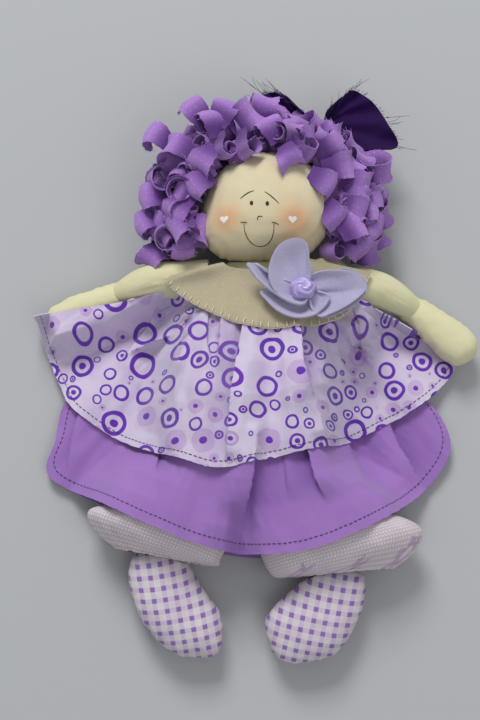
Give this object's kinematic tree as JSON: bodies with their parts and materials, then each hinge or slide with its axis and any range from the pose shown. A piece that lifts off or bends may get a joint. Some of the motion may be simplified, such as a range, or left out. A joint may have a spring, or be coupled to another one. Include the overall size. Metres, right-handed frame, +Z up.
{
  "type": "rag doll",
  "caption": "Stuffed rag doll lying on its back: two gathered skirts, bloomers, felt collar with a flower, curled fabric-strip hair and a bow.",
  "frame": {"origin": "on the table, under the middle of the doll's box, lying on its back", "axes": "+Y from the feet to the head, +X to the doll's own left, +Z up from the table through its front"},
  "size_m": [0.2836, 0.367, 0.0765],
  "materials": {
    "face_cotton": "matte plain cotton, stuffed",
    "skin_cotton": "matte plain cotton, stuffed",
    "gingham": "matte checked cotton, stuffed",
    "bloomer_check": "matte fine-checked cotton",
    "lilac_cotton": "matte plain cotton",
    "ring_print_cotton": "matte cotton printed with rings and dots",
    "beige_felt": "matte wool felt, blanket stitched",
    "petal_felt": "matte felt",
    "rose_button": "glossy moulded plastic",
    "hair_strips": "matte cotton strips with frayed ends",
    "bow_cotton": "matte dark cotton with frayed edges"
  },
  "bodies": {
    "torso": {"torso": "skin_cotton", "bloomers_waistband": "bloomer_check", "underskirt_back": "lilac_cotton", "underskirt_front": "lilac_cotton", "overskirt_back": "ring_print_cotton", "overskirt_front": "ring_print_cotton", "collar_lap": "beige_felt", "collar_under": "beige_felt", "collar_back": "beige_felt", "petal_under": "petal_felt", "petal_front": "petal_felt", "petal_left": "petal_felt", "petal_right": "petal_felt", "petal_top": "petal_felt", "rose_button": "rose_button"},
    "head": {"head": "face_cotton", "hair_core": "hair_strips", "hair_front_1": "hair_strips", "hair_front_2": "hair_strips", "hair_front_3": "hair_strips", "hair_front_4": "hair_strips", "hair_front_5": "hair_strips", "hair_front_6": "hair_strips", "hair_front_7": "hair_strips", "hair_front_8": "hair_strips", "hair_front_9": "hair_strips", "hair_front_10": "hair_strips", "hair_front_11": "hair_strips", "hair_front_12": "hair_strips", "hair_front_13": "hair_strips", "hair_front_14": "hair_strips", "hair_front_15": "hair_strips", "hair_front_16": "hair_strips", "hair_back_1": "hair_strips", "hair_back_2": "hair_strips", "hair_back_3": "hair_strips", "hair_back_8": "hair_strips", "hair_back_9": "hair_strips", "hair_back_10": "hair_strips", "hair_back_11": "hair_strips", "hair_back_12": "hair_strips", "hair_back_13": "hair_strips", "bow_wing_left": "bow_cotton", "bow_wing_right": "bow_cotton", "bow_knot": "bow_cotton"},
    "arm_left": {"arm_left": "skin_cotton"},
    "arm_right": {"arm_right": "skin_cotton"},
    "hips": {"hips": "skin_cotton", "bloomers_seat": "bloomer_check"},
    "leg_left": {"leg_left": "skin_cotton", "foot_left": "gingham", "bloomers_leg_left": "bloomer_check"},
    "leg_right": {"leg_right": "skin_cotton", "foot_right": "gingham", "bloomers_leg_right": "bloomer_check"}
  },
  "joints": [
    {"name": "neck_nod", "type": "hinge", "parent": "torso", "child": "head", "pos_m": [0.00428, 0.06544, 0.0435], "axis": [1, 0, 0], "range_deg": [0, 25], "deforming": ["petal_top"]},
    {"name": "shoulder_left", "type": "hinge", "parent": "torso", "child": "arm_left", "pos_m": [0.08064, 0.04996, 0.0258], "axis": [-0.5, -0.866, 0], "range_deg": [0, 90]},
    {"name": "shoulder_right", "type": "hinge", "parent": "torso", "child": "arm_right", "pos_m": [-0.06804, 0.05572, 0.0258], "axis": [-0.364, 0.9314, 0], "range_deg": [0, 90], "deforming": ["overskirt_front"]},
    {"name": "hip_fold", "type": "hinge", "parent": "torso", "child": "hips", "pos_m": [-0.00619, -0.04256, 0.0263], "axis": [-1, 0, 0], "range_deg": [0, 90], "deforming": ["overskirt_front", "underskirt_front", "bloomers_seat"]},
    {"name": "leg_left_splay", "type": "hinge", "parent": "hips", "child": "leg_left", "pos_m": [0.01368, -0.06986, 0.0233], "axis": [0, 0, 1], "range_deg": [-5, 10], "deforming": ["bloomers_seat"]},
    {"name": "leg_right_splay", "type": "hinge", "parent": "hips", "child": "leg_right", "pos_m": [-0.027, -0.06986, 0.0233], "axis": [0, 0, -1], "range_deg": [-5, 10], "deforming": ["bloomers_seat"]}
  ]
}
